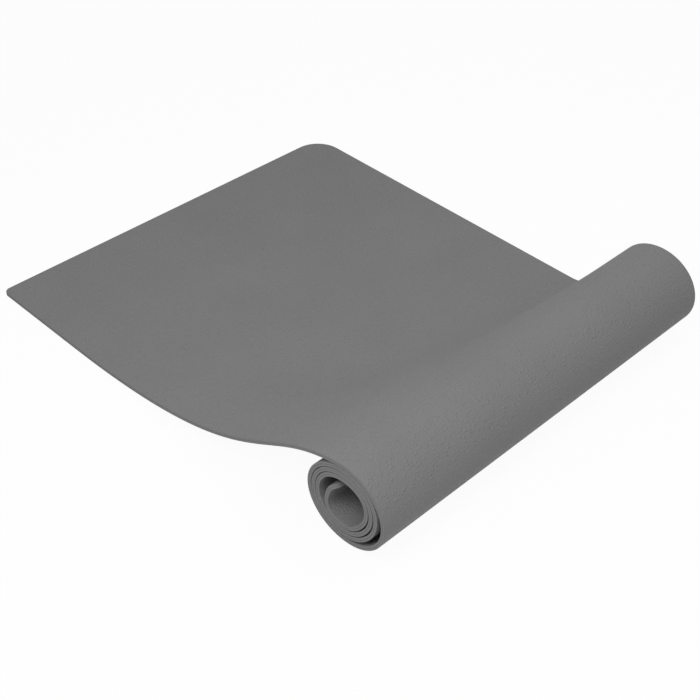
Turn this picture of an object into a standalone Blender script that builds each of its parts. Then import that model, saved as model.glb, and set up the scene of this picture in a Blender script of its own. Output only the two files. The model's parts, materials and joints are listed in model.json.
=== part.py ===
"""A PVC foam yoga mat, half unrolled.

The flat part lies on the floor, a soft ramp climbs from it, and the rest is wound into a loose
roll that rests on the floor too. The mat is a laminate of foam, a thin woven scrim and foam, so
three sheets follow one surface, the middle of the mat. That surface is built once, from strips
that run the length of the mat, and each sheet is the same surface given its own thickness.

Metres, +Z up. +X runs along the mat from its free end to the roll, and -Y is the near side.
The origin is the middle of the floor under the part.
"""

import math

import bmesh
import bpy
import numpy as np
from mathutils import Vector

# The mat as it was cut
MAT_LENGTH = 1.830
MAT_WIDTH = 0.610
MAT_THICKNESS = 0.006
NEAR_CORNER_RADIUS = 0.009
FAR_CORNER_RADIUS = 0.042

# The three bonded sheets
SCRIM_THICKNESS = 0.0003
BOND_CLEARANCE = 0.00015

# The roll: where it lies, and how it is wound
ROLL_DISTANCE = 0.685
ROLL_INSET = 0.019
ROLL_SKEW = math.radians(1.6)
NEAR_BORE_RADIUS = 0.0312
FAR_BORE_RADIUS = 0.0264
TURN_GAP = 0.0008
SIDE_SWELL = 0.0020

# The inner turns sag away from the outer one, which opens a crescent on one side
CRESCENT_GAP = 0.0055
CRESCENT_ANGLE = math.radians(112)
CRESCENT_HALF_ANGLE = math.radians(80)
TURN_DRIFT = 0.0010

# The inner end of the mat springs away from the turn that it lies against
END_SPRING = 0.0105
END_SPRING_START = math.radians(115)
END_SPRING_SPREAD = math.radians(75)

# The ramp from the floor to the roll
NEAR_LIFT_OFF = 0.169
FAR_EXTRA_LENGTH = 0.018
NEAR_CONTACT_ANGLE = math.radians(8)
FAR_CONTACT_ANGLE = math.radians(70)
FAR_STEEPENING = 2.0
RAMP_FOOT_SHARES = (0.735, 0.45)
RAMP_HEAD_SHARES = (0.27, 0.40)

# How finely the surface is cut
STRIPS = 8
INNER_STRIPS = 4
RAMP_ROWS = 32
RAMP_CROWDING = 1.6
ROWS_PER_TURN = 36
CORNER_ROWS = 5
PATH_STEPS = 120
TOP_STEPS = 30
WOUND_STEPS = 480
END_ROWS = 12
SOLVER_STEPS = 30
MOST_TURNS = 12
SHARP_ANGLE = math.radians(40)

FULL_TURN = 2 * math.pi
UP = np.array((0.0, 0.0, 1.0))

# Finishes
FOAM_GREY = (0.195, 0.195, 0.195, 1.0)
FOAM_ROUGHNESS = 0.75
SCRIM_WHITE = (0.62, 0.61, 0.58, 1.0)
SCRIM_ROUGHNESS = 0.6


def ease(share):
    """A smooth step from 0 to 1 whose slope and bend start and end at nothing."""
    t = np.clip(share, 0, 1)
    return t * t * t * (t * (6 * t - 15) + 10)


def between(near_value, far_value, across):
    """A value at a share of the mat's width, 0 at the near edge and 1 at the far one."""
    return near_value + (far_value - near_value) * across


def strip_y(across):
    """The sideways place of the flat mat at a share of its width."""
    return MAT_WIDTH * across - MAT_WIDTH / 2


def steepness(across):
    """How much of the far edge's steep ramp a strip has: little at first, and more and more."""
    return across**FAR_STEEPENING


def solve(rising, low, high):
    """The place between low and high where a rising function passes zero."""
    for _ in range(SOLVER_STEPS):
        middle = (low + high) / 2
        if rising(middle) > 0:
            high = middle
        else:
            low = middle
    return (low + high) / 2


def path_length(points):
    return float(np.linalg.norm(np.diff(points, axis=0), axis=1).sum())


class Roll:
    """The wound part. A turn angle is 0 at the roll's top and grows as the mat winds inward,
    first down the side away from the ramp. The far end is wound tighter than the near one, so
    its edge has more turns to it, and the inner end of the mat runs aslant."""

    def __init__(self, near_end_angle, far_end_angle):
        self.end_angles = (near_end_angle, far_end_angle)
        self.near_axis = np.array((ROLL_DISTANCE, ROLL_INSET - MAT_WIDTH / 2, 0))
        self.side = np.array((math.cos(ROLL_SKEW), math.sin(ROLL_SKEW), 0))
        self.along = np.array((-math.sin(ROLL_SKEW), math.cos(ROLL_SKEW), 0))

    def radius(self, angle, across):
        """From the roll's axis to the middle of the mat."""
        end_angle = between(*self.end_angles, across)
        bore_radius = between(NEAR_BORE_RADIUS, FAR_BORE_RADIUS, across)
        turns_inside = (end_angle - angle) / FULL_TURN
        radius = bore_radius + MAT_THICKNESS / 2 + (MAT_THICKNESS + TURN_GAP) * turns_inside
        radius = radius - SIDE_SWELL * np.cos(2 * angle)
        turns_past = (angle - CRESCENT_ANGLE) / FULL_TURN
        off_centre = (turns_past - np.round(turns_past)) * FULL_TURN
        crescent = np.cos(np.clip(off_centre / CRESCENT_HALF_ANGLE, -1, 1) * math.pi / 2) ** 2
        crescent_depth = np.where(turns_past > 0.5, CRESCENT_GAP + TURN_DRIFT * turns_past, 0)
        radius = radius - crescent_depth * crescent
        spring = ease((angle - end_angle + END_SPRING_START) / END_SPRING_SPREAD)
        return radius - END_SPRING * spring

    def height(self, across):
        """The height of the axis that rests the outer turn on the floor."""
        angle = np.linspace(math.pi / 2, 3 * math.pi / 2, PATH_STEPS)
        lowest = (self.radius(angle, across) * np.cos(angle)).min()
        return MAT_THICKNESS / 2 - lowest

    def points(self, angle, across):
        """Points on the middle of the mat, one for each turn angle."""
        angle = np.asarray(angle, float)
        axis = self.near_axis + self.along * MAT_WIDTH * across
        axis[2] = self.height(across)
        outward = np.sin(angle)[:, None] * self.side + np.cos(angle)[:, None] * UP
        return axis + self.radius(angle, across)[:, None] * outward

    def wound_length(self, angle, across):
        """The length of mat from the roll's top to a turn angle."""
        return path_length(self.points(np.linspace(0, angle, WOUND_STEPS), across))


def ramp_path(roll, across, lift_off):
    """One strip of the mat from its free end to the roll's top, with its ramp from lift_off."""
    y = strip_y(across)
    contact = -between(NEAR_CONTACT_ANGLE, FAR_CONTACT_ANGLE, steepness(across))
    small_turn = contact / PATH_STEPS
    head, past_head = roll.points((contact, contact - small_turn), across)
    direction = (past_head - head) / np.linalg.norm(past_head - head)
    foot = np.array((lift_off, y, MAT_THICKNESS / 2))
    reach = np.linalg.norm(head - foot)
    foot_handle = foot + np.array((1, 0, 0)) * reach * between(*RAMP_FOOT_SHARES, across)
    head_handle = head - direction * reach * between(*RAMP_HEAD_SHARES, across)
    t = np.linspace(0, 1, PATH_STEPS)[:, None]
    curve = (
        (1 - t) ** 3 * foot
        + 3 * (1 - t) ** 2 * t * foot_handle
        + 3 * (1 - t) * t**2 * head_handle
        + t**3 * head
    )
    over_the_top = roll.points(np.linspace(contact, 0, TOP_STEPS)[1:], across)
    free_end = np.array((0, y, MAT_THICKNESS / 2))
    return np.vstack((free_end, curve, over_the_top))


def wind_roll():
    """The roll with as many turns as use up the mat's length, on its near and its far edge."""

    def spare_near(end_angle):
        roll = Roll(end_angle, end_angle)
        unwound = path_length(ramp_path(roll, 0, NEAR_LIFT_OFF))
        return unwound + roll.wound_length(end_angle, 0) - MAT_LENGTH

    near_end = solve(spare_near, FULL_TURN / 2, MOST_TURNS * FULL_TURN)
    near_wound = Roll(near_end, near_end).wound_length(near_end, 0)

    def spare_far(end_angle):
        wound = Roll(near_end, end_angle).wound_length(end_angle, 1)
        return wound + FAR_EXTRA_LENGTH - near_wound

    return Roll(near_end, solve(spare_far, FULL_TURN / 2, MOST_TURNS * FULL_TURN))


def ramp_strips(roll):
    """Every strip up to the roll's top. Its length is set, so that says where it leaves the floor:
    the roll lies askew, so the far strips leave it later and climb faster."""
    near_path = ramp_path(roll, 0, NEAR_LIFT_OFF)
    length = path_length(near_path)
    strips = [near_path]
    for number in range(1, STRIPS + 1):
        across = number / STRIPS

        def length_over(lift_off, across=across):
            wanted = length + FAR_EXTRA_LENGTH * steepness(across)
            return path_length(ramp_path(roll, across, lift_off)) - wanted

        lift_off = solve(length_over, NEAR_LIFT_OFF / 2, ROLL_DISTANCE - FAR_BORE_RADIUS)
        strips.append(ramp_path(roll, across, lift_off))
    return strips


def along_path(path, distances):
    """Points at distances along a path, given as shares of its length."""
    steps = np.linalg.norm(np.diff(path, axis=0), axis=1)
    travelled = np.concatenate(((0,), np.cumsum(steps)))
    at = np.asarray(distances) * travelled[-1]
    return np.stack([np.interp(at, travelled, path[:, k]) for k in range(3)], axis=1)


def corner_distances():
    """Distances from an end of the mat at which its rounded corners get a row."""
    angles = np.linspace(0, math.pi / 2, CORNER_ROWS + 1)
    near = NEAR_CORNER_RADIUS * (1 - np.cos(angles))
    far = FAR_CORNER_RADIUS * (1 - np.cos(angles))
    return sorted(set(near) | set(far))


def edge_shares(distance):
    """The shares of the width between which the mat lies, at a distance from one of its ends."""
    insets = []
    for corner_radius in (NEAR_CORNER_RADIUS, FAR_CORNER_RADIUS):
        left = max(corner_radius - distance, 0)
        insets.append(corner_radius - math.sqrt(corner_radius**2 - left**2))
    return insets[0] / MAT_WIDTH, 1 - insets[1] / MAT_WIDTH


def flat_rows():
    """Straight rows over the rounded free end, each a list of (share of the width, point)."""
    rows = []
    for distance in corner_distances():
        row = []
        for across in edge_shares(distance):
            row.append((across, Vector((distance, strip_y(across), MAT_THICKNESS / 2))))
        rows.append(row)
    return rows


def ramp_rows(roll):
    """Rows of the ramp, from where the near strip leaves the floor to the roll's top. They crowd
    towards the roll, where the mat bends most."""
    strips = ramp_strips(roll)
    first = NEAR_LIFT_OFF / path_length(strips[0])
    shares = 1 - (1 - first) * np.linspace(1, 0, RAMP_ROWS) ** RAMP_CROWDING
    lines = [along_path(strip, shares) for strip in strips]
    rows = []
    for number in range(RAMP_ROWS):
        row = [(k / STRIPS, Vector(line[number])) for k, line in enumerate(lines)]
        rows.append(row)
    return rows


def outline_inset(across):
    """How far the rounded corners pull the inner end in, at a share of the mat's width."""
    near_left = max(NEAR_CORNER_RADIUS - across * MAT_WIDTH, 0)
    far_left = max(FAR_CORNER_RADIUS - (1 - across) * MAT_WIDTH, 0)
    near = NEAR_CORNER_RADIUS - math.sqrt(NEAR_CORNER_RADIUS**2 - near_left**2)
    far = FAR_CORNER_RADIUS - math.sqrt(FAR_CORNER_RADIUS**2 - far_left**2)
    return near + far


def roll_rows(roll):
    """Rows round the roll. The last ones stop at the outline of the mat's inner end, which
    crosses them aslant, from the end of the roll that has fewer turns to the other one."""
    near_wound = roll.wound_length(roll.end_angles[0], 0)

    def mat_left(angle, across):
        wound = near_wound - FAR_EXTRA_LENGTH * steepness(across) - outline_inset(across)
        return wound - roll.wound_length(angle, across)

    def last_angle(across):
        return solve(lambda angle: -mat_left(angle, across), 0, max(roll.end_angles))

    corner_starts = min(last_angle(0), last_angle(1))
    corners = (NEAR_CORNER_RADIUS / MAT_WIDTH, 1 - FAR_CORNER_RADIUS / MAT_WIDTH)
    tip_across = max(corners, key=last_angle)
    tip = last_angle(tip_across)
    step = FULL_TURN / ROWS_PER_TURN
    whole_rows = int(corner_starts / step)
    angles = [step * number for number in range(1, whole_rows + 1)]
    late = np.sin(np.linspace(0, math.pi / 2, END_ROWS + 1)[:-1])
    angles = angles + list(corner_starts + (tip - corner_starts) * late)
    rows = []
    for angle in angles:
        first, last = 0, 1
        if mat_left(angle, 0) < 0:
            first = solve(lambda across: mat_left(angle, across), 0, tip_across)
        if mat_left(angle, 1) < 0:
            last = solve(lambda across: -mat_left(angle, across), tip_across, 1)
        sprung = angle > min(roll.end_angles) - END_SPRING_START
        shares = np.linspace(first, last, INNER_STRIPS + 1 if sprung else 2)
        rows.append([(share, Vector(roll.points((angle,), share)[0])) for share in shares])
    return rows


def stitch(mesh, first, second):
    """Joins two rows with triangles, stepping always along the row that lags behind."""
    a, b = 0, 0
    while a + 1 < len(first) or b + 1 < len(second):
        next_first = first[a + 1][0] if a + 1 < len(first) else math.inf
        next_second = second[b + 1][0] if b + 1 < len(second) else math.inf
        if next_first <= next_second:
            corner = first[a + 1][1]
            mesh.faces.new((first[a][1], second[b][1], corner))
            a += 1
        else:
            corner = second[b + 1][1]
            mesh.faces.new((first[a][1], second[b][1], corner))
            b += 1


def mat_surface(roll):
    """The middle of the mat as one open surface, its upper side facing out."""
    mesh = bmesh.new()
    rows = []
    for row in flat_rows() + ramp_rows(roll) + roll_rows(roll):
        rows.append([(across, mesh.verts.new(point)) for across, point in row])
    for first, second in zip(rows, rows[1:]):
        stitch(mesh, first, second)
    surface = bpy.data.meshes.new("mat_surface")
    mesh.to_mesh(surface)
    mesh.free()
    return surface


def material(name, colour, roughness):
    made = bpy.data.materials.new(name)
    made.use_nodes = True
    shader = made.node_tree.nodes["Principled BSDF"]
    shader.inputs["Base Color"].default_value = colour
    shader.inputs["Roughness"].default_value = roughness
    shader.inputs["Metallic"].default_value = 0
    return made


def sheet(name, surface, underside, topside, finish):
    """One bonded sheet, between two distances from the middle of the mat."""
    made = bpy.data.objects.new(name, surface.copy())
    made.data.materials.append(finish)
    made.data.shade_smooth()
    made.data.set_sharp_from_angle(angle=SHARP_ANGLE)
    bpy.context.collection.objects.link(made)
    thickness = made.modifiers.new("thickness", "SOLIDIFY")
    thickness.thickness = topside - underside
    thickness.offset = (topside + underside) / (topside - underside)
    thickness.use_even_offset = True
    thickness.use_quality_normals = True
    return made


def print_least_gap(roll):
    """Prints the least air between one turn of the roll and the next, measured on points."""
    least = math.inf
    for across in np.linspace(0, 1, INNER_STRIPS + 1):
        angles = np.linspace(0, between(*roll.end_angles, across), PATH_STEPS * MOST_TURNS)
        points = roll.points(angles, across)
        for angle, point in zip(angles, points):
            others = points[angles > angle + math.pi]
            if len(others):
                gap = np.linalg.norm(others - point, axis=1).min() - MAT_THICKNESS
                least = min(least, float(gap))
    print(f"least gap between turns: {least * 1000:.2f} mm")


def stand_on_origin(sheets):
    """Puts the middle of the floor under the part at the origin, with an empty as their parent."""
    bpy.context.view_layer.update()
    corners = np.array([corner for piece in sheets for corner in piece.bound_box])
    low, high = corners.min(axis=0), corners.max(axis=0)
    floor_point = bpy.data.objects.new("floor_point", None)
    bpy.context.collection.objects.link(floor_point)
    floor_point.location = (-(low[0] + high[0]) / 2, -(low[1] + high[1]) / 2, -low[2])
    for piece in sheets:
        piece.parent = floor_point


def main():
    for old in list(bpy.data.objects):
        bpy.data.objects.remove(old)
    roll = wind_roll()
    surface = mat_surface(roll)
    scrim_face = SCRIM_THICKNESS / 2
    foam_face = scrim_face + BOND_CLEARANCE
    mat_face = MAT_THICKNESS / 2
    foam = material("grey_pvc_foam", FOAM_GREY, FOAM_ROUGHNESS)
    net = material("polyester_scrim", SCRIM_WHITE, SCRIM_ROUGHNESS)
    sheets = [
        sheet("upper_foam_layer", surface, foam_face, mat_face, foam),
        sheet("reinforcing_scrim", surface, -scrim_face, scrim_face, net),
        sheet("lower_foam_layer", surface, -mat_face, -foam_face, foam),
    ]
    stand_on_origin(sheets)
    print_least_gap(roll)
    near_turns, far_turns = (angle / FULL_TURN for angle in roll.end_angles)
    print(f"turns: {near_turns:.2f} at the near end, {far_turns:.2f} at the far end")


main()
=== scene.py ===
"""A half unrolled yoga mat, dressed for the photograph's view.

The mat is cut flat, with rounded corners and rounded cut edges, and is then laid along its path:
flat on the floor, up the ramp and round the turns of the roll. Every piece of the laminate goes
through that one path, so the layers stay bonded along their whole length.
"""

import json
import math

import bpy
import numpy as np
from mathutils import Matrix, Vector

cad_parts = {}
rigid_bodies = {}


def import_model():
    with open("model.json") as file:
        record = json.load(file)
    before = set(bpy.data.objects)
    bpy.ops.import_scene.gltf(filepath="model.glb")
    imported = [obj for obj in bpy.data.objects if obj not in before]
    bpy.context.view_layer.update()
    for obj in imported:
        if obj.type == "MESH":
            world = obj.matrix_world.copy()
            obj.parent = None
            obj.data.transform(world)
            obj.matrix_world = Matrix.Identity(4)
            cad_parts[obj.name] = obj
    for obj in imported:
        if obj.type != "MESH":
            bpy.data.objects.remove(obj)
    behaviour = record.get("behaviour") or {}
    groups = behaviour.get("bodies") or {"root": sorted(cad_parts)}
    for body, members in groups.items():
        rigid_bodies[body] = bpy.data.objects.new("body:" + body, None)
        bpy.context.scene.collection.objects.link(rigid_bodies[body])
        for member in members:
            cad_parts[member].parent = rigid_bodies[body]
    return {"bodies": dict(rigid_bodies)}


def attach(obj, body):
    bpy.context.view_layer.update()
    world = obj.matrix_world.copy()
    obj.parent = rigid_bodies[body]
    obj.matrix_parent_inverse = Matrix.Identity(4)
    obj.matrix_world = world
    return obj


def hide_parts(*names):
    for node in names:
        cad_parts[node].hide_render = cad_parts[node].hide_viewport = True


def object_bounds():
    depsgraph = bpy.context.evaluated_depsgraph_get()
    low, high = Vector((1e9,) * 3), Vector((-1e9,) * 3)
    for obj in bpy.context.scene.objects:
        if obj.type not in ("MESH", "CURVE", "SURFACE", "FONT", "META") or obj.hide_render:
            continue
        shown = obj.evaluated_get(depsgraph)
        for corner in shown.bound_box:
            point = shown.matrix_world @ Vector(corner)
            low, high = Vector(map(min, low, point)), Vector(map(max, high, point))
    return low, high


bl_info = {
    "name": "Yoga Mat",
    "version": (1, 0, 0),
    "blender": (4, 5, 0),
    "location": "View3D > Sidebar > Yoga Mat",
    "description": "Builds a half unrolled PVC foam yoga mat from its cut sizes",
    "category": "Add Mesh",
}

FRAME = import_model()
CAD_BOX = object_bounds()
BODY = "root"
FLAT_CUT = "flat_cut"
FULL_TURN = 2 * math.pi
UP = np.array((0.0, 0.0, 1.0))

# How finely the path is worked out, and how far it runs on past the mat's inner end
STRIPS = 48
PATH_STEPS = 240
TOP_STEPS = 60
WOUND_STEPS = 480
RAMP_TABLE_ROWS = 420
WOUND_TABLE_ROWS = 620
SOLVER_STEPS = 34
MOST_TURNS = 12
SPARE_ANGLE = 0.2

# How finely the pieces are cut
ROW_SPACING = 0.0045
COLUMN_SPACING = 0.010
CORNER_ROWS = 8
ROUNDING_STEPS = 4
SHARP_ANGLE = math.radians(50)

# Sizes of the patterns across the mat, in millimetres
STRAY_PITCH = 9
CLOUD_PITCH = 140
PORE_PITCH = 0.8
CELL_PITCH = 0.9
WEAVE_PITCH = 2.5

# How far grains stray from their rows, and how deep the fine patterns are
GRAIN_STRAY = 0.0012
PORE_DEPTH = 0.00003
CELL_DEPTH = 0.00012
YARN_HEIGHT = 0.0001

# How far the wave texture's phase runs, in radians, over each unit of its scaled place
WAVE_PHASE = 20

# The floor lies a hair under the mat, so that the two faces don't flicker
FLOOR_DROP = 0.0002

# The camera's sensor in millimetres, and how far it sees in metres
SENSOR_WIDTH = 36
FARTHEST_SEEN = 60


def linear(hex_colour):
    """An sRGB hex colour as a linear RGB triple."""
    channels = [int(hex_colour[k : k + 2], 16) / 255 for k in (1, 3, 5)]
    return tuple(c / 12.92 if c <= 0.04045 else ((c + 0.055) / 1.055) ** 2.4 for c in channels)


def per_metre(millimetres):
    """The scale that gives a pattern this size, for coordinates in metres."""
    return 1000 / millimetres


def length_property(name, description, default):
    return bpy.props.FloatProperty(
        name=name, description=description, default=default, subtype="DISTANCE", unit="LENGTH",
        precision=5,
    )


def angle_property(name, description, degrees):
    return bpy.props.FloatProperty(
        name=name, description=description, default=math.radians(degrees), subtype="ANGLE",
        unit="ROTATION",
    )


def share_property(name, description, default):
    return bpy.props.FloatProperty(
        name=name, description=description, default=default, min=0, soft_max=1, subtype="FACTOR"
    )


def power_property(name, description, watts):
    return bpy.props.FloatProperty(name=name, description=description, default=watts, unit="POWER")


def place_property(name, description, default):
    return bpy.props.FloatVectorProperty(
        name=name, description=description, default=default, size=3, subtype="TRANSLATION",
        unit="LENGTH", precision=5,
    )


def colour_property(name, description, hex_colour):
    return bpy.props.FloatVectorProperty(
        name=name, description=description, default=linear(hex_colour), size=3, min=0, max=1,
        subtype="COLOR",
    )


class MatSizes(bpy.types.PropertyGroup):
    """The sizes of the mat as it was cut, and how it is laid out"""

    mat_length: length_property("Length", "Length of the mat before it is rolled", 1.830)
    mat_width: length_property("Width", "Width of the mat", 0.610)
    mat_thickness: length_property("Thickness", "Thickness of the bonded laminate", 0.006)
    near_corner: length_property("Near corner", "Radius of the corners on the near edge", 0.009)
    far_corner: length_property("Far corner", "Radius of the corners on the far edge", 0.042)
    net_thickness: length_property("Net thickness", "Thickness of the reinforcing net", 0.0003)
    net_setback: length_property("Net setback", "How far the net lies inside the cut", 0.0004)
    edge_rounding: length_property("Edge rounding", "Rounding of the cut edge", 0.0009)
    roll_distance: length_property("Roll distance", "Free end to the roll's near axis", 0.685)
    roll_inset: length_property("Roll inset", "How far the roll's near end is set back", 0.019)
    roll_skew: angle_property("Roll skew", "How far the roll lies askew", 1.6)
    near_bore: length_property("Near bore", "Radius inside the near end's turns", 0.0312)
    far_bore: length_property("Far bore", "Radius inside the far end's turns", 0.0264)
    turn_gap: length_property("Turn gap", "Air between one turn and the next", 0.0008)
    side_swell: length_property("Side swell", "How far the roll sags wider than tall", 0.0020)
    crescent_gap: length_property("Crescent gap", "Air inside the outer turn on one side", 0.0055)
    crescent_angle: angle_property("Crescent angle", "Turn angle of that air's middle", 112)
    crescent_half_angle: angle_property("Crescent half angle", "How far it reaches", 80)
    turn_drift: length_property("Turn drift", "Further air there at each turn inward", 0.0010)
    end_spring: length_property("End spring", "How far the inner end stands off", 0.0105)
    end_spring_start: angle_property("End spring start", "Where the inner end comes off", 115)
    end_spring_spread: angle_property("End spring spread", "Angle it takes to come off", 75)
    near_lift_off: length_property("Near lift-off", "Free end to the ramp's near foot", 0.169)
    far_extra_length: length_property("Far extra length", "Extra path on the far edge", 0.018)
    near_contact: angle_property("Near contact", "Where the ramp meets the roll, near", 8)
    far_contact: angle_property("Far contact", "Where the ramp meets the roll, far", 70)
    far_steepening: bpy.props.FloatProperty(
        name="Far steepening", description="How late the ramp steepens across the mat", default=2.0
    )
    near_foot: share_property("Near foot", "Pull of the floor on the near ramp", 0.735)
    far_foot: share_property("Far foot", "Pull of the floor on the far ramp", 0.45)
    near_head: share_property("Near head", "Pull of the roll on the near ramp", 0.27)
    far_head: share_property("Far head", "Pull of the roll on the far ramp", 0.40)


class MatFinish(bpy.types.PropertyGroup):
    """Colours and grain of the mat"""

    skin_colour: colour_property("Foam skin", "The embossed face of the foam", "#808080")
    cut_colour: colour_property("Cut foam", "The foam where it was cut", "#7A7A7A")
    net_colour: colour_property("Net", "The polyester net in the middle", "#8C8B88")
    grain_pitch: bpy.props.FloatProperty(
        name="Grain pitch", description="Distance between raised grains, in mm", default=4.0
    )
    face_grain: length_property("Face grain", "How high the upper face's grains stand", 0.0010)
    underside_grain: length_property("Underside grain", "How high those below stand", 0.00025)


class StageSettings(bpy.types.PropertyGroup):
    """Floor, light and camera"""

    floor_colour: colour_property("Floor", "Colour of the floor", "#F4F4F4")
    floor_size: length_property("Floor size", "Side of the floor", 14.0)
    floor_glow: share_property("Floor glow", "How much of the floor's white is its own", 0.95)
    sky_level: share_property("Sky level", "Light from all round", 0.455)
    key_power: power_property("Key power", "Power of the lamp on the near side", 7.1)
    key_size: length_property("Key size", "Side of the lamp on the near side", 0.52)
    key_place: place_property("Key place", "Where the near lamp hangs", (0.48, -0.84, 1.15))
    back_power: power_property("Back power", "Power of the lamp on the far side", 2.2)
    back_size: length_property("Back size", "Side of the lamp on the far side", 0.5)
    back_place: place_property("Back place", "Where the far lamp hangs", (0.30, 0.45, 1.10))
    camera_place: place_property(
        "Camera place", "Where the camera stands", (1.17757, -1.11189, 1.24865)
    )
    camera_turn: angle_property("Camera turn", "Direction of view, from +Y to the left", 46.4154)
    camera_dip: angle_property("Camera dip", "How far the view looks down", 38.9320)
    camera_lens: bpy.props.FloatProperty(
        name="Lens", description="Focal length for a 36 mm wide sensor", default=75.258,
        unit="CAMERA",
    )


def ease(share):
    """A smooth step from 0 to 1 whose slope and bend start and end at nothing."""
    t = np.clip(share, 0, 1)
    return t * t * t * (t * (6 * t - 15) + 10)


def between(near_value, far_value, across):
    """A value at a share of the mat's width, 0 at the near edge and 1 at the far one."""
    return near_value + (far_value - near_value) * across


def solve(rising, low, high):
    """The place between low and high where a rising function passes zero."""
    for _ in range(SOLVER_STEPS):
        middle = (low + high) / 2
        if rising(middle) > 0:
            high = middle
        else:
            low = middle
    return (low + high) / 2


def travelled(points):
    """The distance along a line of points, at each of them."""
    steps = np.linalg.norm(np.diff(points, axis=0), axis=1)
    return np.concatenate(((0,), np.cumsum(steps)))


class Roll:
    """The wound part. A turn angle is 0 at the roll's top and grows as the mat winds inward,
    first down the side away from the ramp. The far end is wound tighter than the near one."""

    def __init__(self, sizes, near_end, far_end):
        self.sizes = sizes
        self.end_angles = (near_end, far_end)
        self.near_axis = np.array((sizes.roll_distance, sizes.roll_inset - sizes.mat_width / 2, 0))
        self.side = np.array((math.cos(sizes.roll_skew), math.sin(sizes.roll_skew), 0))
        self.along = np.array((-math.sin(sizes.roll_skew), math.cos(sizes.roll_skew), 0))

    def radius(self, angle, across):
        """From the roll's axis to the middle of the mat."""
        s = self.sizes
        end_angle = between(*self.end_angles, across)
        turns_inside = (end_angle - angle) / FULL_TURN
        bore_radius = between(s.near_bore, s.far_bore, across)
        # An even spiral round the bore, which sags wider than tall
        radius = bore_radius + s.mat_thickness / 2 + (s.mat_thickness + s.turn_gap) * turns_inside
        radius = radius - s.side_swell * np.cos(2 * angle)
        # On one side the inner turns keep off the outer one, each a little further than the last
        turns_past = (angle - s.crescent_angle) / FULL_TURN
        off_centre = (turns_past - np.round(turns_past)) * FULL_TURN
        crescent = np.cos(np.clip(off_centre / s.crescent_half_angle, -1, 1) * math.pi / 2) ** 2
        depth = np.where(turns_past > 0.5, s.crescent_gap + s.turn_drift * turns_past, 0)
        # The inner end springs off the turn around it, into the bore
        spring = ease((angle - end_angle + s.end_spring_start) / s.end_spring_spread)
        return radius - depth * crescent - s.end_spring * spring

    def height(self, across):
        """The height of the axis that rests the outer turn on the floor."""
        angle = np.linspace(math.pi / 2, 3 * math.pi / 2, PATH_STEPS)
        lowest = (self.radius(angle, across) * np.cos(angle)).min()
        return self.sizes.mat_thickness / 2 - lowest

    def points(self, angle, across):
        """Points on the middle of the mat, one for each turn angle."""
        angle = np.asarray(angle, float)
        axis = self.near_axis + self.along * self.sizes.mat_width * across
        axis[2] = self.height(across)
        outward = np.sin(angle)[:, None] * self.side + np.cos(angle)[:, None] * UP
        return axis + self.radius(angle, across)[:, None] * outward

    def wound_length(self, angle, across):
        """The length of mat from the roll's top to a turn angle."""
        return travelled(self.points(np.linspace(0, angle, WOUND_STEPS), across))[-1]


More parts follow.
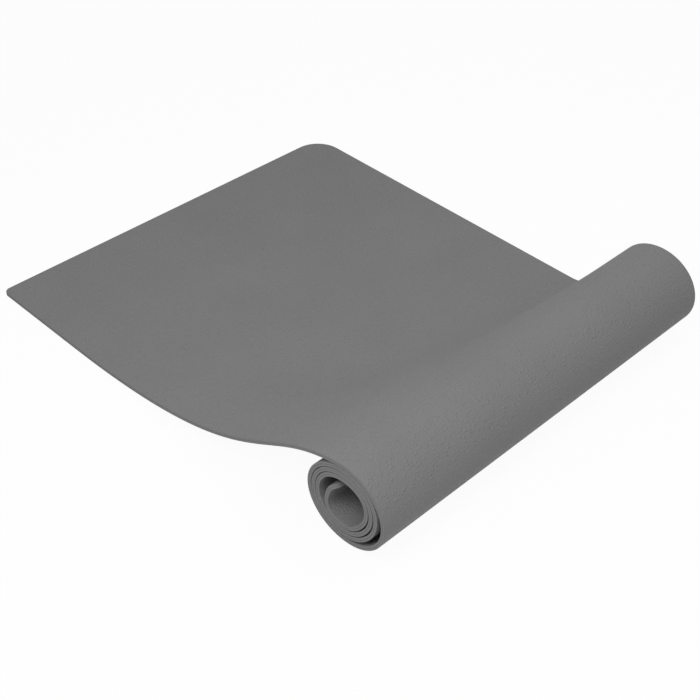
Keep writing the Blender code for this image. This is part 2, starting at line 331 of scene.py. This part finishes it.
class WoundPath:
    """The middle surface of the laid mat: where any spot of the flat cut ends up."""

    def __init__(self, sizes):
        self.sizes = sizes
        low = CAD_BOX[0]
        self.shift = np.array((low.x, low.y + sizes.mat_width / 2, 0))
        near_end = solve(self.spare_near, FULL_TURN / 2, MOST_TURNS * FULL_TURN)
        self.near_wound = Roll(sizes, near_end, near_end).wound_length(near_end, 0)

        def spare_far(far_end):
            wound = Roll(sizes, near_end, far_end).wound_length(far_end, 1)
            return wound + sizes.far_extra_length - self.near_wound

        far_end = solve(spare_far, FULL_TURN / 2, MOST_TURNS * FULL_TURN)
        self.roll = Roll(sizes, near_end, far_end)
        self.tabulate()

    def spare_near(self, end_angle):
        """How much longer than the mat the near edge is, for a roll that ends there."""
        roll = Roll(self.sizes, end_angle, end_angle)
        unwound = travelled(self.ramp(roll, 0, self.sizes.near_lift_off))[-1]
        return unwound + roll.wound_length(end_angle, 0) - self.sizes.mat_length

    def ramp(self, roll, across, lift_off):
        """One strip from the free end to the roll's top, with its ramp from lift_off."""
        s = self.sizes
        y = s.mat_width * across - s.mat_width / 2
        contact = -between(s.near_contact, s.far_contact, across**s.far_steepening)
        head, past_head = roll.points((contact, contact - contact / PATH_STEPS), across)
        direction = (past_head - head) / np.linalg.norm(past_head - head)
        foot = np.array((lift_off, y, s.mat_thickness / 2))
        reach = np.linalg.norm(head - foot)
        foot_pull = np.array((reach * between(s.near_foot, s.far_foot, across), 0, 0))
        head_pull = direction * reach * between(s.near_head, s.far_head, across)
        # A cubic curve that leaves the floor level and meets the roll along its turn
        t = np.linspace(0, 1, PATH_STEPS)[:, None]
        curve = (
            (1 - t) ** 3 * foot
            + 3 * (1 - t) ** 2 * t * (foot + foot_pull)
            + 3 * (1 - t) * t**2 * (head - head_pull)
            + t**3 * head
        )
        over_the_top = roll.points(np.linspace(contact, 0, TOP_STEPS)[1:], across)
        return np.vstack(((0, y, s.mat_thickness / 2), curve, over_the_top))

    def strip(self, across):
        """One strip up to the roll's top, with the lift-off that its length asks for."""
        s = self.sizes
        length = travelled(self.ramp(self.roll, 0, s.near_lift_off))[-1]
        length = length + s.far_extra_length * across**s.far_steepening
        lift_off = solve(
            lambda place: travelled(self.ramp(self.roll, across, place))[-1] - length,
            s.near_lift_off / 2,
            s.roll_distance - s.far_bore,
        )
        return self.ramp(self.roll, across, lift_off)

    def tabulate(self):
        """Fills the tables of places, facings and distances along the mat, strip by strip."""
        places, distances = [], []
        for across in np.linspace(0, 1, STRIPS + 1):
            strip = self.strip(across)
            strip_at = travelled(strip)
            ramp_at = np.linspace(0, strip_at[-1], RAMP_TABLE_ROWS)
            ramp = np.stack([np.interp(ramp_at, strip_at, strip[:, k]) for k in range(3)], 1)
            last = between(*self.roll.end_angles, across) + SPARE_ANGLE
            wound = self.roll.points(np.linspace(0, last, WOUND_TABLE_ROWS), across)
            places.append(np.vstack((ramp, wound[1:])) + self.shift)
            distances.append(np.concatenate((ramp_at, strip_at[-1] + travelled(wound)[1:])))
        self.places = np.stack(places, 1)
        self.distances = np.stack(distances, 1)
        facing = np.cross(np.gradient(self.places, axis=0), np.gradient(self.places, axis=1))
        self.facings = facing / np.linalg.norm(facing, axis=2, keepdims=True)

    def lay(self, flat):
        """Spots of the flat cut (along, across, above the middle), each put on its path. A spot
        takes its place from the two strips that it lies between."""
        column = np.clip(flat[:, 1] / self.sizes.mat_width + 0.5, 0, 1) * STRIPS
        place, facing = np.zeros((len(flat), 3)), np.zeros((len(flat), 3))
        for number in range(STRIPS + 1):
            nearness = np.maximum(1 - np.abs(column - number), 0)
            spots = nearness > 0
            at, known = flat[spots, 0], self.distances[:, number]
            for k in range(3):
                found = np.interp(at, known, self.places[:, number, k])
                place[spots, k] += nearness[spots] * found
                found = np.interp(at, known, self.facings[:, number, k])
                facing[spots, k] += nearness[spots] * found
        facing = facing / np.linalg.norm(facing, axis=1, keepdims=True)
        return place + facing * flat[:, 2:]


def row_distances(sizes):
    """Distances from the free end at which the flat cut has a row of points."""
    angles = np.linspace(0, math.pi / 2, CORNER_ROWS + 1)
    near = sizes.near_corner * (1 - np.cos(angles))
    far = sizes.far_corner * (1 - np.cos(angles))
    corner = np.unique(np.round(np.concatenate((near, far)), 6))
    straight = sizes.mat_length - 2 * sizes.far_corner
    steps = round(straight / ROW_SPACING)
    middle = np.linspace(0, straight, steps + 1)[1:-1] + sizes.far_corner
    return np.concatenate((corner, middle, sizes.mat_length - corner[::-1]))


def inset(corner, distance, setback):
    """How far a rounded corner pulls an edge in, at a distance from the end, for a cut that
    is set back all round."""
    left = np.maximum(corner - distance, 0)
    rounded = corner - np.sqrt(np.maximum((corner - setback) ** 2 - left**2, 0))
    return np.where(distance < corner, rounded, setback)


def flat_grid(sizes, setback):
    """The flat cut as rows of (along, across), set back all round from its outline."""
    at = row_distances(sizes)
    distance = np.minimum(at, sizes.mat_length - at)
    squeezed = setback + distance * (1 - setback / sizes.far_corner)
    distance_in = np.where(distance < sizes.far_corner, squeezed, distance)
    along = np.where(at < sizes.mat_length / 2, distance_in, sizes.mat_length - distance_in)
    low = inset(sizes.near_corner, distance_in, setback) - sizes.mat_width / 2
    high = sizes.mat_width / 2 - inset(sizes.far_corner, distance_in, setback)
    columns = round(sizes.mat_width / COLUMN_SPACING) + 1
    share = np.linspace(0, 1, columns)[None, :]
    across = low[:, None] * (1 - share) + high[:, None] * share
    return np.stack((np.repeat(along[:, None], columns, 1), across), 2)


def rim_order(rows, columns):
    """The grid places round its rim, counter-clockwise from the near corner of the free end."""
    near = [(i, 0) for i in range(rows)]
    end = [(rows - 1, j) for j in range(1, columns)]
    far = [(i, columns - 1) for i in range(rows - 2, -1, -1)]
    start = [(0, j) for j in range(columns - 2, 0, -1)]
    return near + end + far + start


def flat_sheet(sizes, levels):
    """A closed sheet through levels of (setback, height), lowest first, before it is laid: its
    spots, its faces, and how many of those make up its two skins. They come first, and the
    faces of the rim follow."""
    grids = [flat_grid(sizes, setback) for setback, _ in levels]
    rows, columns = grids[0].shape[:2]
    rim = rim_order(rows, columns)
    count = rows * columns
    points = [np.dstack((grids[0], np.full((rows, columns), levels[0][1]))).reshape(-1, 3)]
    rings = [[i * columns + j for i, j in rim]]
    for grid, (_, height) in zip(grids[1:-1], levels[1:-1]):
        ring = np.array([(*grid[i, j], height) for i, j in rim])
        rings.append(list(range(count, count + len(rim))))
        points.append(ring)
        count += len(rim)
    points.append(np.dstack((grids[-1], np.full((rows, columns), levels[-1][1]))).reshape(-1, 3))
    rings.append([count + i * columns + j for i, j in rim])
    faces = []
    for i in range(rows - 1):
        for j in range(columns - 1):
            a, b = i * columns + j, (i + 1) * columns + j
            faces.append((a, a + 1, b + 1, b))
            faces.append((count + a, count + b, count + b + 1, count + a + 1))
    skin_faces = len(faces)
    for lower, upper in zip(rings, rings[1:]):
        for k in range(len(rim)):
            n = (k + 1) % len(rim)
            faces.append((lower[k], lower[n], upper[n], upper[k]))
    return np.vstack(points), faces, skin_faces


def lay_piece(name, path, levels, skin, cut):
    """A closed sheet through levels of (setback, height), lowest first, laid on its path. Its
    two faces take the skin and its rim the cut finish."""
    flat, faces, skin_faces = flat_sheet(path.sizes, levels)
    mesh = bpy.data.meshes.new(name)
    mesh.from_pydata(path.lay(flat).tolist(), [], faces)
    mesh.materials.append(skin)
    mesh.materials.append(cut)
    slots = np.zeros(len(faces), np.int32)
    slots[skin_faces:] = 1
    mesh.polygons.foreach_set("material_index", slots)
    spot = mesh.attributes.new(FLAT_CUT, "FLOAT_VECTOR", "POINT")
    spot.data.foreach_set("vector", flat.astype(np.float32).ravel())
    mesh.shade_smooth()
    mesh.set_sharp_from_angle(angle=SHARP_ANGLE)
    if mesh.validate():
        raise RuntimeError(f"{name} has faces that can't be built")
    piece = bpy.data.objects.new(name, mesh)
    bpy.context.collection.objects.link(piece)
    return piece


def finish_piece(piece, node):
    """Puts a piece on the mat's body in place of its CAD node."""
    if BODY not in FRAME["bodies"]:
        raise RuntimeError(f"the frame has no body {BODY}")
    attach(piece, BODY)
    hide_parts(node)


def add_node(tree, kind, settings=None, **inputs):
    """Adds a node with its settings, and links or sets its inputs. An underscore stands for
    a space in a socket's name, and at0, at1 and at2 are sockets by their place."""
    node = tree.nodes.new(kind)
    for name, value in (settings or {}).items():
        setattr(node, name, value)
    for name, value in inputs.items():
        key = int(name[2:]) if name.startswith("at") else name.replace("_", " ")
        socket = node.inputs[key]
        if isinstance(value, bpy.types.NodeSocket):
            tree.links.new(value, socket)
        else:
            socket.default_value = value
    return node


def new_material(name):
    made = bpy.data.materials.new(name)
    made.use_nodes = True
    made.node_tree.nodes.clear()
    return made, made.node_tree


def seen_ray(tree):
    """1 for a ray that is seen directly, in a gloss or through glass."""
    ray = add_node(tree, "ShaderNodeLightPath")
    either = add_node(
        tree, "ShaderNodeMath", {"operation": "MAXIMUM"},
        at0=ray.outputs["Is Camera Ray"], at1=ray.outputs["Is Glossy Ray"],
    )
    any_of = add_node(
        tree, "ShaderNodeMath", {"operation": "MAXIMUM"},
        at0=either.outputs["Value"], at1=ray.outputs["Is Transmission Ray"],
    )
    return any_of.outputs["Value"]


def cast_foam_skin(name, finish, grain_height):
    """Closed-cell PVC foam cast on embossed paper: a dull, slightly rubbery skin of small
    raised grains. Its colour is painted a little darker between the grains and a little lighter on
    them: painted shade in the hollows and painted highlight on the grains, partly also dust that
    the thinner skin between them holds. Real grains are about 2 mm apart and real pores a tenth
    of that, too fine to show from the camera, so both are drawn coarser."""
    made, tree = new_material(name)
    spot = add_node(tree, "ShaderNodeAttribute", {"attribute_name": FLAT_CUT}).outputs["Vector"]
    wander = add_node(
        tree, "ShaderNodeTexNoise", Vector=spot, Scale=per_metre(STRAY_PITCH), Detail=1.0
    ).outputs["Color"]
    bent = add_node(
        tree, "ShaderNodeVectorMath", {"operation": "MULTIPLY_ADD"},
        at0=wander, at1=(GRAIN_STRAY, GRAIN_STRAY, 0.0), at2=spot,
    ).outputs["Vector"]
    cells = add_node(
        tree, "ShaderNodeTexVoronoi", {"feature": "SMOOTH_F1"},
        Vector=bent, Scale=per_metre(finish.grain_pitch), Smoothness=0.35, Randomness=0.6,
    ).outputs["Distance"]
    grain = add_node(
        tree, "ShaderNodeMapRange", {"interpolation_type": "SMOOTHSTEP"},
        Value=cells, From_Min=0.55, From_Max=0.12,
    ).outputs["Result"]
    pores = add_node(
        tree, "ShaderNodeTexNoise", Vector=spot, Scale=per_metre(PORE_PITCH), Detail=2.0,
        Roughness=0.6,
    ).outputs["Fac"]
    cloud = add_node(
        tree, "ShaderNodeTexNoise", Vector=spot, Scale=per_metre(CLOUD_PITCH), Detail=3.0
    ).outputs["Fac"]
    cloud_tone = add_node(
        tree, "ShaderNodeMapRange", Value=cloud, From_Min=0.3, From_Max=0.7, To_Min=0.965,
        To_Max=1.03,
    ).outputs["Result"]
    # Painted shade in the hollows between the grains and painted highlight on them, partly also
    # dust
    hollow_shade_and_dust = add_node(
        tree, "ShaderNodeMapRange", Value=grain, To_Min=0.90, To_Max=1.04
    ).outputs["Result"]
    tone = add_node(
        tree, "ShaderNodeMath", {"operation": "MULTIPLY"}, at0=cloud_tone, at1=hollow_shade_and_dust
    ).outputs["Value"]
    colour = add_node(
        tree, "ShaderNodeVectorMath", {"operation": "SCALE"},
        at0=tuple(finish.skin_colour), Scale=tone,
    ).outputs["Vector"]
    dullness = add_node(
        tree, "ShaderNodeMapRange", Value=grain, To_Min=0.78, To_Max=0.62
    ).outputs["Result"]
    fine = add_node(
        tree, "ShaderNodeBump", Height=pores, Strength=0.6, Distance=PORE_DEPTH
    ).outputs["Normal"]
    raised = add_node(
        tree, "ShaderNodeBump", Height=grain, Normal=fine, Strength=1.0, Distance=grain_height
    ).outputs["Normal"]
    shader = add_node(
        tree, "ShaderNodeBsdfPrincipled", Base_Color=colour, Roughness=dullness, Normal=raised,
        IOR=1.52,
    )
    add_node(tree, "ShaderNodeOutputMaterial", Surface=shader.outputs["BSDF"])
    return made


def cut_foam(finish):
    """The same foam where a blade went through it: no skin and no grain, only the open cells,
    which make it duller and a shade darker. Real cells are about 0.3 mm across, too fine to
    show, so they are drawn three times coarser."""
    made, tree = new_material("die_cut_pvc_foam")
    spot = add_node(tree, "ShaderNodeAttribute", {"attribute_name": FLAT_CUT}).outputs["Vector"]
    cells = add_node(
        tree, "ShaderNodeTexVoronoi", Vector=spot, Scale=per_metre(CELL_PITCH), Randomness=1.0
    ).outputs["Distance"]
    tone = add_node(
        tree, "ShaderNodeMapRange", Value=cells, From_Max=0.8, To_Min=0.86, To_Max=1.06
    ).outputs["Result"]
    colour = add_node(
        tree, "ShaderNodeVectorMath", {"operation": "SCALE"},
        at0=tuple(finish.cut_colour), Scale=tone,
    ).outputs["Vector"]
    open_cells = add_node(
        tree, "ShaderNodeBump", Height=cells, Strength=0.8, Distance=CELL_DEPTH
    ).outputs["Normal"]
    shader = add_node(
        tree, "ShaderNodeBsdfPrincipled", Base_Color=colour, Roughness=0.85, Normal=open_cells,
        IOR=1.45,
    )
    add_node(tree, "ShaderNodeOutputMaterial", Surface=shader.outputs["BSDF"])
    return made


def woven_net(finish):
    """Open-weave polyester yarn, woven square: a slight thread sheen on a pale grey."""
    weave = per_metre(WEAVE_PITCH) * FULL_TURN / WAVE_PHASE
    made, tree = new_material("woven_polyester_net")
    spot = add_node(tree, "ShaderNodeAttribute", {"attribute_name": FLAT_CUT}).outputs["Vector"]
    warp = add_node(
        tree, "ShaderNodeTexWave", {"bands_direction": "X"}, Vector=spot, Scale=weave
    ).outputs["Fac"]
    weft = add_node(
        tree, "ShaderNodeTexWave", {"bands_direction": "Y"}, Vector=spot, Scale=weave
    ).outputs["Fac"]
    yarn = add_node(
        tree, "ShaderNodeMath", {"operation": "MAXIMUM"}, at0=warp, at1=weft
    ).outputs["Value"]
    tone = add_node(
        tree, "ShaderNodeMapRange", Value=yarn, To_Min=0.8, To_Max=1.05
    ).outputs["Result"]
    colour = add_node(
        tree, "ShaderNodeVectorMath", {"operation": "SCALE"},
        at0=tuple(finish.net_colour), Scale=tone,
    ).outputs["Vector"]
    raised = add_node(
        tree, "ShaderNodeBump", Height=yarn, Strength=0.7, Distance=YARN_HEIGHT
    ).outputs["Normal"]
    shader = add_node(
        tree, "ShaderNodeBsdfPrincipled", Base_Color=colour, Roughness=0.55, Normal=raised,
        IOR=1.54,
    )
    add_node(tree, "ShaderNodeOutputMaterial", Surface=shader.outputs["BSDF"])
    return made


def rounded_edge(sizes):
    """Levels of a foam layer above the net, from its bonded face to its rounded outer face."""
    bond = sizes.net_thickness / 2
    face = sizes.mat_thickness / 2
    outer = sizes.edge_rounding
    inner = outer / 3
    levels = [(inner, bond), (0, bond + inner), (0, (bond + face) / 2)]
    for angle in np.linspace(0, math.pi / 2, ROUNDING_STEPS + 1):
        levels.append((outer * (1 - math.cos(angle)), face - outer * (1 - math.sin(angle))))
    return levels


class MAT_OT_add_foam_layers(bpy.types.Operator):
    """Lays the two foam layers, embossed side out, in place of their CAD solids"""

    bl_idname = "mat.add_foam_layers"
    bl_label = "Add Foam Layers"

    def execute(self, context):
        sizes, finish = context.scene.mat_sizes, context.scene.mat_finish
        path = WoundPath(sizes)
        face = cast_foam_skin("cast_pvc_foam_face", finish, finish.face_grain)
        underside = cast_foam_skin("cast_pvc_foam_underside", finish, finish.underside_grain)
        cut = cut_foam(finish)
        above = rounded_edge(sizes)
        below = [(setback, -height) for setback, height in reversed(above)]
        top = lay_piece("embossed_top_foam", path, above, face, cut)
        finish_piece(top, "upper_foam_layer")
        back = lay_piece("embossed_back_foam", path, below, underside, cut)
        finish_piece(back, "lower_foam_layer")
        return {"FINISHED"}


class MAT_OT_add_net(bpy.types.Operator):
    """Lays the reinforcing net between the foam layers, a hair inside the cut edge"""

    bl_idname = "mat.add_net"
    bl_label = "Add Reinforcing Net"

    def execute(self, context):
        sizes, finish = context.scene.mat_sizes, context.scene.mat_finish
        path = WoundPath(sizes)
        half = sizes.net_thickness / 2
        yarn_rounding = sizes.net_thickness / 3
        levels = [
            (sizes.net_setback + yarn_rounding, -half),
            (sizes.net_setback, -half + yarn_rounding),
            (sizes.net_setback, half - yarn_rounding),
            (sizes.net_setback + yarn_rounding, half),
        ]
        net_finish = woven_net(finish)
        net = lay_piece("reinforcing_net", path, levels, net_finish, net_finish)
        finish_piece(net, "reinforcing_scrim")
        return {"FINISHED"}


class MAT_OT_add_stage(bpy.types.Operator):
    """Adds the white floor, the soft light and the camera"""

    bl_idname = "mat.add_stage"
    bl_label = "Add Stage"

    def execute(self, context):
        stage = context.scene.mat_stage
        self.floor(context, stage)
        self.light(context, stage)
        self.camera(context, stage)
        context.scene.view_settings.view_transform = "Standard"
        return {"FINISHED"}

    def floor(self, context, stage):
        """A sheet of white paper, seen nearly at full white and still taking a shadow."""
        half = stage.floor_size / 2
        ring = ((-half, -half), (half, -half), (half, half), (-half, half))
        sheet = bpy.data.meshes.new("paper_floor")
        sheet.from_pydata([(x, y, -FLOOR_DROP) for x, y in ring], [], [(0, 1, 2, 3)])
        made, tree = new_material("matt_white_paper")
        paper = add_node(tree, "ShaderNodeBsdfDiffuse", Color=(*stage.floor_colour, 1))
        glow = add_node(tree, "ShaderNodeEmission", Color=(1, 1, 1, 1), Strength=1.0)
        seen = seen_ray(tree)
        share = add_node(
            tree, "ShaderNodeMath", {"operation": "MULTIPLY"}, at0=seen, at1=stage.floor_glow
        )
        mixed = add_node(
            tree, "ShaderNodeMixShader", at0=share.outputs["Value"], at1=paper.outputs["BSDF"],
            at2=glow.outputs["Emission"],
        )
        add_node(tree, "ShaderNodeOutputMaterial", Surface=mixed.outputs["Shader"])
        sheet.materials.append(made)
        floor = bpy.data.objects.new("paper_floor", sheet)
        context.collection.objects.link(floor)

    def light(self, context, stage):
        """A white sky that is seen at full white but lights the mat more softly, and two lamps."""
        world = bpy.data.worlds.new("soft_sky")
        context.scene.world = world
        world.use_nodes = True
        tree = world.node_tree
        tree.nodes.clear()
        sky = add_node(tree, "ShaderNodeBackground", Color=(1, 1, 1, 1), Strength=stage.sky_level)
        white = add_node(tree, "ShaderNodeBackground", Color=(1, 1, 1, 1), Strength=1.0)
        mixed = add_node(
            tree, "ShaderNodeMixShader", at0=seen_ray(tree), at1=sky.outputs["Background"],
            at2=white.outputs["Background"],
        )
        add_node(tree, "ShaderNodeOutputWorld", Surface=mixed.outputs["Shader"])
        self.lamp(context, "key_lamp", stage.key_power, stage.key_size, stage.key_place)
        self.lamp(context, "back_lamp", stage.back_power, stage.back_size, stage.back_place)

    def lamp(self, context, name, power, size, place):
        """A square soft lamp that hangs out of sight and faces the mat."""
        light = bpy.data.lights.new(name, "AREA")
        light.energy = power
        light.size = size
        lamp = bpy.data.objects.new(name, light)
        lamp.location = place
        lamp.visible_camera = False
        lamp.rotation_euler = (-Vector(place)).to_track_quat("-Z", "Y").to_euler()
        context.collection.objects.link(lamp)

    def camera(self, context, stage):
        """The photograph's camera, as solved from the mat's outline."""
        lens = bpy.data.cameras.new("photo_camera")
        lens.lens = stage.camera_lens
        lens.sensor_width = SENSOR_WIDTH
        lens.clip_end = FARTHEST_SEEN
        camera = bpy.data.objects.new("photo_camera", lens)
        camera.location = stage.camera_place
        camera.rotation_euler = (math.pi / 2 - stage.camera_dip, 0, stage.camera_turn)
        context.collection.objects.link(camera)
        context.scene.camera = camera


class MAT_PT_sidebar(bpy.types.Panel):
    """Lists the sizes, finishes and steps of the mat"""

    bl_idname = "MAT_PT_sidebar"
    bl_label = "Yoga Mat"
    bl_space_type = "VIEW_3D"
    bl_region_type = "UI"
    bl_category = "Yoga Mat"

    def draw(self, context):
        for operator in (MAT_OT_add_foam_layers, MAT_OT_add_net, MAT_OT_add_stage):
            self.layout.operator(operator.bl_idname)
        for group in (context.scene.mat_sizes, context.scene.mat_finish, context.scene.mat_stage):
            box = self.layout.box()
            for name in group.__annotations__:
                box.prop(group, name)


CLASSES = (
    MatSizes,
    MatFinish,
    StageSettings,
    MAT_OT_add_foam_layers,
    MAT_OT_add_net,
    MAT_OT_add_stage,
    MAT_PT_sidebar,
)


def register():
    for made in CLASSES:
        bpy.utils.register_class(made)
    bpy.types.Scene.mat_sizes = bpy.props.PointerProperty(type=MatSizes)
    bpy.types.Scene.mat_finish = bpy.props.PointerProperty(type=MatFinish)
    bpy.types.Scene.mat_stage = bpy.props.PointerProperty(type=StageSettings)


def unregister():
    del bpy.types.Scene.mat_stage
    del bpy.types.Scene.mat_finish
    del bpy.types.Scene.mat_sizes
    for made in reversed(CLASSES):
        bpy.utils.unregister_class(made)


def main():
    register()
    bpy.ops.mat.add_foam_layers()
    bpy.ops.mat.add_net()
    bpy.ops.mat.add_stage()


if __name__ == "__main__":
    main()
